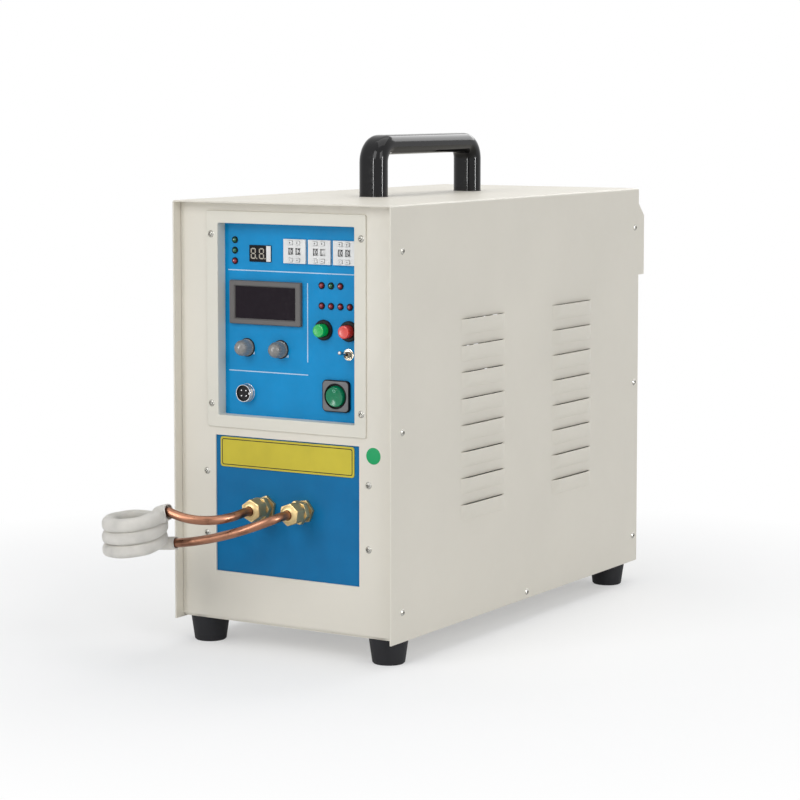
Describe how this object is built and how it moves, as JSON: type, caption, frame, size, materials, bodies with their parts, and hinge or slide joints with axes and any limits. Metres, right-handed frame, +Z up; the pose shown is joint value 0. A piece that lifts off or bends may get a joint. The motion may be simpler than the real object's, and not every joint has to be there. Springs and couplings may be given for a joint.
{
  "type": "induction heating machine",
  "caption": "Portable induction heater in a louvred sheet-metal cabinet with a carrying handle, recessed control panel, brass fittings and a sleeved copper work coil.",
  "frame": {"origin": "centre of the bounding box's footprint, on the plane that the feet stand on", "axes": "+X to the right of a person facing the control panel, +Y from the front to the rear, +Z up"},
  "size_m": [0.2508, 0.6068, 0.4585],
  "materials": {
    "cream_powder_coat": "satin powder coat",
    "beige_powder_coat": "satin powder coat",
    "blue_panel": "satin overlay",
    "blue_board": "matte insulating board",
    "black_gloss": "gloss",
    "black_rubber": "matte",
    "zinc_steel": "zinc plated",
    "white_plastic": "satin",
    "black_display": "gloss",
    "grey_plastic": "satin",
    "dark_window": "gloss filter",
    "lamp_red": "gloss lens",
    "green_plastic": "gloss",
    "red_plastic": "gloss",
    "silver_plastic": "satin silver",
    "brass": "machined",
    "copper": "bare drawn copper tube",
    "fibre_sleeve": "woven glass fibre",
    "dark_steel": "ferrite core",
    "blue_plastic": "satin",
    "bare_aluminium": "milled",
    "black_matte": "matte",
    "circuit_board": "solder mask"
  },
  "bodies": {
    "cabinet": {"base_pan": "cream_powder_coat", "front_panel": "cream_powder_coat", "rear_panel": "cream_powder_coat", "cover_shell": "cream_powder_coat", "control_frame": "beige_powder_coat", "control_panel": "blue_panel", "coil_board": "blue_board", "carry_handle": "black_gloss", "rubber_feet": "black_rubber", "machine_screws": "zinc_steel", "timer_housings": "white_plastic", "counter_display": "black_display", "meter_bezel": "grey_plastic", "meter_window": "dark_window", "indicator_lamps": "lamp_red", "button_collars": "black_gloss", "panel_bushings": "zinc_steel", "rocker_bezel": "grey_plastic", "pedal_socket": "zinc_steel", "coil_fittings": "brass", "heating_coil": "copper", "coil_sleeve": "fibre_sleeve", "rear_hood": "cream_powder_coat", "breaker_body": "black_gloss", "fan_housing": "black_gloss", "water_nozzles": "brass", "cable_gland": "black_gloss", "transformer_core": "dark_steel", "transformer_copper": "copper", "resonant_capacitors": "blue_plastic", "cold_plate": "bare_aluminium", "power_modules": "black_matte", "control_board": "circuit_board", "cooling_hoses": "black_rubber"},
    "start_button": {"start_button": "green_plastic"},
    "stop_button": {"stop_button": "red_plastic"},
    "mode_toggle_lever": {"mode_toggle_lever": "zinc_steel"},
    "heat_power_knob": {"heat_power_knob": "silver_plastic"},
    "hold_power_knob": {"hold_power_knob": "silver_plastic"},
    "power_rocker": {"power_rocker": "green_plastic"},
    "fan_rotor": {"fan_rotor": "black_gloss"},
    "breaker_lever": {"breaker_lever": "grey_plastic"},
    "digit_wheel_1": {"digit_wheel_1": "white_plastic"},
    "plus_key_1": {"plus_key_1": "white_plastic"},
    "minus_key_1": {"minus_key_1": "white_plastic"},
    "digit_wheel_2": {"digit_wheel_2": "white_plastic"},
    "plus_key_2": {"plus_key_2": "white_plastic"},
    "minus_key_2": {"minus_key_2": "white_plastic"},
    "digit_wheel_3": {"digit_wheel_3": "white_plastic"},
    "plus_key_3": {"plus_key_3": "white_plastic"},
    "minus_key_3": {"minus_key_3": "white_plastic"},
    "digit_wheel_4": {"digit_wheel_4": "white_plastic"},
    "plus_key_4": {"plus_key_4": "white_plastic"},
    "minus_key_4": {"minus_key_4": "white_plastic"},
    "digit_wheel_5": {"digit_wheel_5": "white_plastic"},
    "plus_key_5": {"plus_key_5": "white_plastic"},
    "minus_key_5": {"minus_key_5": "white_plastic"},
    "digit_wheel_6": {"digit_wheel_6": "white_plastic"},
    "plus_key_6": {"plus_key_6": "white_plastic"},
    "minus_key_6": {"minus_key_6": "white_plastic"}
  },
  "joints": [
    {"name": "start_button_press", "type": "slide", "parent": "cabinet", "child": "start_button", "axis": [0, 1, 0], "range_m": [0, 0.003], "stiffness_N_per_m": 400},
    {"name": "stop_button_press", "type": "slide", "parent": "cabinet", "child": "stop_button", "axis": [0, 1, 0], "range_m": [0, 0.003], "stiffness_N_per_m": 400},
    {"name": "mode_toggle_tilt", "type": "hinge", "parent": "cabinet", "child": "mode_toggle_lever", "pos_m": [0.0657, -0.1836, 0.2695], "axis": [1, 0, 0], "range_deg": [0, 24]},
    {"name": "heat_power_knob_turn", "type": "hinge", "parent": "cabinet", "child": "heat_power_knob", "pos_m": [-0.0419, -0.1821, 0.2705], "axis": [0, 1, 0], "range_deg": [-150, 150]},
    {"name": "hold_power_knob_turn", "type": "hinge", "parent": "cabinet", "child": "hold_power_knob", "pos_m": [-0.0057, -0.1821, 0.2705], "axis": [0, 1, 0], "range_deg": [-150, 150]},
    {"name": "power_rocker_tilt", "type": "hinge", "parent": "cabinet", "child": "power_rocker", "pos_m": [0.0536, -0.1829, 0.2325], "axis": [1, 0, 0], "range_deg": [-16, 0]},
    {"name": "fan_spin", "type": "hinge", "parent": "cabinet", "child": "fan_rotor", "pos_m": [-0.0216, 0.2634, 0.2375], "axis": [0, 1, 0], "continuous": true},
    {"name": "breaker_lever_throw", "type": "hinge", "parent": "cabinet", "child": "breaker_lever", "pos_m": [0.0962, 0.2891, 0.3425], "axis": [1, 0, 0], "range_deg": [0, 70]},
    {"name": "digit_wheel_1_turn", "type": "hinge", "parent": "cabinet", "child": "digit_wheel_1", "pos_m": [0.0065, -0.1756, 0.3581], "axis": [1, 0, 0], "continuous": true},
    {"name": "digit_wheel_2_turn", "type": "hinge", "parent": "cabinet", "child": "digit_wheel_2", "pos_m": [0.0141, -0.1756, 0.3581], "axis": [1, 0, 0], "continuous": true},
    {"name": "digit_wheel_3_turn", "type": "hinge", "parent": "cabinet", "child": "digit_wheel_3", "pos_m": [0.0325, -0.1756, 0.3581], "axis": [1, 0, 0], "continuous": true},
    {"name": "digit_wheel_4_turn", "type": "hinge", "parent": "cabinet", "child": "digit_wheel_4", "pos_m": [0.0401, -0.1756, 0.3581], "axis": [1, 0, 0], "continuous": true},
    {"name": "digit_wheel_5_turn", "type": "hinge", "parent": "cabinet", "child": "digit_wheel_5", "pos_m": [0.0585, -0.1756, 0.3581], "axis": [1, 0, 0], "continuous": true},
    {"name": "digit_wheel_6_turn", "type": "hinge", "parent": "cabinet", "child": "digit_wheel_6", "pos_m": [0.0661, -0.1756, 0.3581], "axis": [1, 0, 0], "continuous": true},
    {"name": "plus_key_1_press", "type": "slide", "parent": "cabinet", "child": "plus_key_1", "axis": [0, 1, 0], "range_m": [0, 0.0012], "stiffness_N_per_m": 250},
    {"name": "minus_key_1_press", "type": "slide", "parent": "cabinet", "child": "minus_key_1", "axis": [0, 1, 0], "range_m": [0, 0.0012], "stiffness_N_per_m": 250},
    {"name": "plus_key_2_press", "type": "slide", "parent": "cabinet", "child": "plus_key_2", "axis": [0, 1, 0], "range_m": [0, 0.0012], "stiffness_N_per_m": 250},
    {"name": "minus_key_2_press", "type": "slide", "parent": "cabinet", "child": "minus_key_2", "axis": [0, 1, 0], "range_m": [0, 0.0012], "stiffness_N_per_m": 250},
    {"name": "plus_key_3_press", "type": "slide", "parent": "cabinet", "child": "plus_key_3", "axis": [0, 1, 0], "range_m": [0, 0.0012], "stiffness_N_per_m": 250},
    {"name": "minus_key_3_press", "type": "slide", "parent": "cabinet", "child": "minus_key_3", "axis": [0, 1, 0], "range_m": [0, 0.0012], "stiffness_N_per_m": 250},
    {"name": "plus_key_4_press", "type": "slide", "parent": "cabinet", "child": "plus_key_4", "axis": [0, 1, 0], "range_m": [0, 0.0012], "stiffness_N_per_m": 250},
    {"name": "minus_key_4_press", "type": "slide", "parent": "cabinet", "child": "minus_key_4", "axis": [0, 1, 0], "range_m": [0, 0.0012], "stiffness_N_per_m": 250},
    {"name": "plus_key_5_press", "type": "slide", "parent": "cabinet", "child": "plus_key_5", "axis": [0, 1, 0], "range_m": [0, 0.0012], "stiffness_N_per_m": 250},
    {"name": "minus_key_5_press", "type": "slide", "parent": "cabinet", "child": "minus_key_5", "axis": [0, 1, 0], "range_m": [0, 0.0012], "stiffness_N_per_m": 250},
    {"name": "plus_key_6_press", "type": "slide", "parent": "cabinet", "child": "plus_key_6", "axis": [0, 1, 0], "range_m": [0, 0.0012], "stiffness_N_per_m": 250},
    {"name": "minus_key_6_press", "type": "slide", "parent": "cabinet", "child": "minus_key_6", "axis": [0, 1, 0], "range_m": [0, 0.0012], "stiffness_N_per_m": 250}
  ]
}
